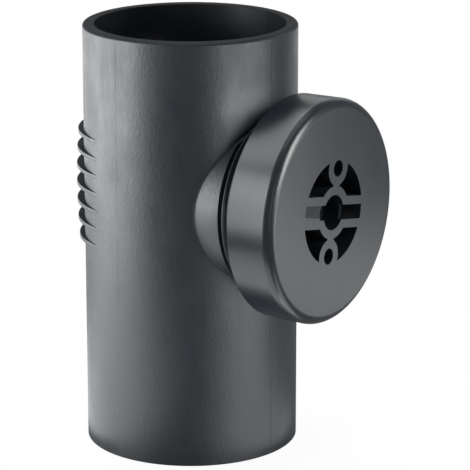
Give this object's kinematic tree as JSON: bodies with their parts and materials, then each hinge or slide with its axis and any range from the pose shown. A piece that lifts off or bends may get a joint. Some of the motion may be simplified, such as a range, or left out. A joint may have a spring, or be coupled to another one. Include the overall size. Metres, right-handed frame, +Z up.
{
  "type": "cleanout access pipe",
  "caption": "Straight soil pipe with a round side access neck, crescent ribs on its back and a screw cap with a sunk driving recess, sealed by a rubber ring.",
  "frame": {"origin": "centre of the pipe's lower end, on the pipe's axis", "axes": "+Z up along the pipe's axis, +X out along the access neck's axis, +Y to the right seen from the cap"},
  "size_m": [0.1481, 0.1148, 0.22],
  "materials": {
    "pipe_polyethylene": "satin black polyethylene, lightly grained",
    "cap_polyethylene": "satin black polyethylene, smooth",
    "ring_rubber": "matt black rubber"
  },
  "bodies": {
    "pipe": {"access_pipe": "pipe_polyethylene"},
    "seal": {"sealing_ring": "ring_rubber"},
    "cap": {"screw_cap": "cap_polyethylene"}
  },
  "joints": [
    {"name": "cap_travel", "type": "slide", "parent": "pipe", "child": "seal", "axis": [1, 0, 0], "range_m": [0, 0.0211]},
    {"name": "cap_turn", "type": "hinge", "parent": "seal", "child": "cap", "pos_m": [0.085, 0, 0.133], "axis": [1, 0, 0], "range_deg": [0, 1260]}
  ],
  "couplings": [
    {"joint": "cap_travel", "follows": "cap_turn", "m_per_rad": 0.00095493}
  ]
}
